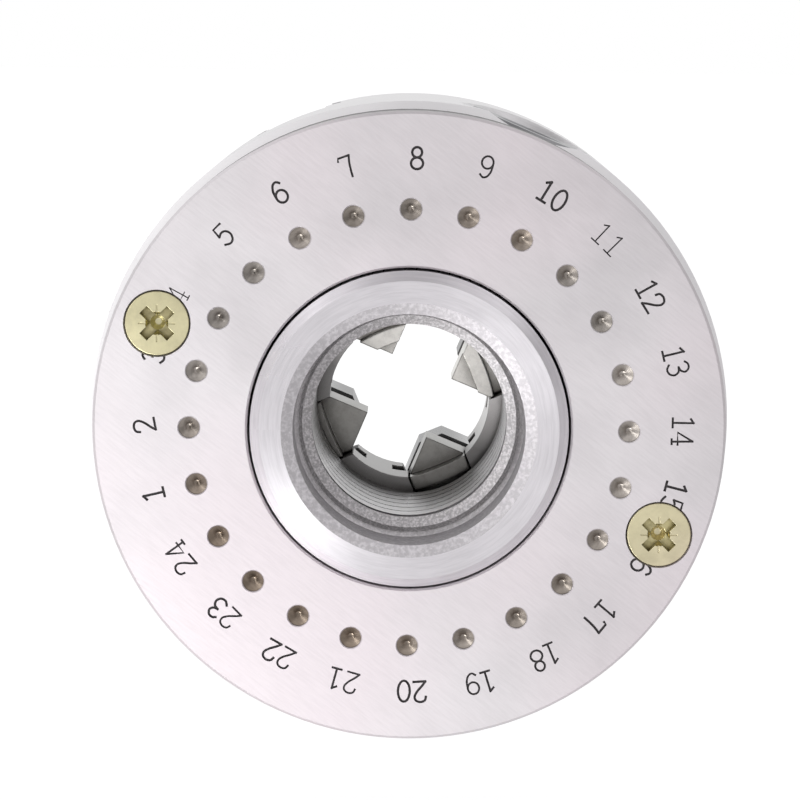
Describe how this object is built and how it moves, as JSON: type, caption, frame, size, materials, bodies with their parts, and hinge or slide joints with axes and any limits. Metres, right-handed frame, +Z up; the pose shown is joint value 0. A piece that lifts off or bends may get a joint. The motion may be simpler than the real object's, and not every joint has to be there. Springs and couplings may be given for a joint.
{
  "type": "wood lathe chuck",
  "caption": "Round self-centring lathe chuck: geared scroll drives wedge jaws in radial slots, numbered index plate and threaded spindle bore behind.",
  "frame": {"origin": "centre of the hub's rear face, the face that meets the spindle shoulder", "axes": "+Y along the chuck axis towards the jaws, +Z up and +X right as seen from the spindle side"},
  "size_m": [0.0952, 0.0705, 0.0952],
  "materials": {
    "body_steel": "fine turned",
    "plate_steel": "ground satin",
    "yellow_zinc": "yellow zinc plate",
    "scroll_steel": "machined",
    "spring_steel": "dark spring steel",
    "pinion_steel": "dark hardened",
    "slide_steel": "machined",
    "jaw_steel": "fine turned",
    "black_screws": "black oxide"
  },
  "bodies": {
    "chuck": {"chuck_body": "body_steel", "back_plate": "plate_steel", "plate_screw_1": "yellow_zinc", "plate_screw_2": "yellow_zinc", "scroll_circlip": "spring_steel", "pinion_pin_1": "spring_steel", "pinion_pin_2": "spring_steel"},
    "scroll": {"scroll_ring": "scroll_steel"},
    "jaw_1": {"jaw_slide_1": "slide_steel", "front_jaw_1": "jaw_steel", "jaw_screws_1": "black_screws"},
    "jaw_2": {"jaw_slide_2": "slide_steel", "front_jaw_2": "jaw_steel", "jaw_screws_2": "black_screws"},
    "jaw_3": {"jaw_slide_3": "slide_steel", "front_jaw_3": "jaw_steel", "jaw_screws_3": "black_screws"},
    "jaw_4": {"jaw_slide_4": "slide_steel", "front_jaw_4": "jaw_steel", "jaw_screws_4": "black_screws"},
    "key_pinion_1": {"pinion_1": "pinion_steel"},
    "key_pinion_2": {"pinion_2": "pinion_steel"}
  },
  "joints": [
    {"name": "scroll_turn", "type": "hinge", "parent": "chuck", "child": "scroll", "pos_m": [0, 0.034, 0], "axis": [0, -1, 0], "range_deg": [-390, 960]},
    {"name": "jaw_travel_1", "type": "slide", "parent": "chuck", "child": "jaw_1", "axis": [0.9239, 0, 0.3827], "range_m": [-0.00651, 0.01601]},
    {"name": "jaw_travel_2", "type": "slide", "parent": "chuck", "child": "jaw_2", "axis": [-0.3827, 0, 0.9239], "range_m": [-0.00651, 0.01601]},
    {"name": "jaw_travel_3", "type": "slide", "parent": "chuck", "child": "jaw_3", "axis": [-0.9239, 0, -0.3827], "range_m": [-0.00651, 0.01601]},
    {"name": "jaw_travel_4", "type": "slide", "parent": "chuck", "child": "jaw_4", "axis": [0.3827, 0, -0.9239], "range_m": [-0.00651, 0.01601]},
    {"name": "pinion_turn_1", "type": "hinge", "parent": "chuck", "child": "key_pinion_1", "pos_m": [0.01531, 0.021, 0.03696], "axis": [0.3827, 0, 0.9239], "range_deg": [-1873, 4609]},
    {"name": "pinion_turn_2", "type": "hinge", "parent": "chuck", "child": "key_pinion_2", "pos_m": [-0.01531, 0.021, -0.03696], "axis": [-0.3827, 0, -0.9239], "range_deg": [-1873, 4609]}
  ],
  "couplings": [
    {"joint": "jaw_travel_1", "follows": "scroll_turn", "m_per_rad": 0.00095493},
    {"joint": "jaw_travel_2", "follows": "scroll_turn", "m_per_rad": 0.00095493},
    {"joint": "jaw_travel_3", "follows": "scroll_turn", "m_per_rad": 0.00095493},
    {"joint": "jaw_travel_4", "follows": "scroll_turn", "m_per_rad": 0.00095493},
    {"joint": "pinion_turn_1", "follows": "scroll_turn", "ratio": 4.8},
    {"joint": "pinion_turn_2", "follows": "scroll_turn", "ratio": 4.8}
  ]
}
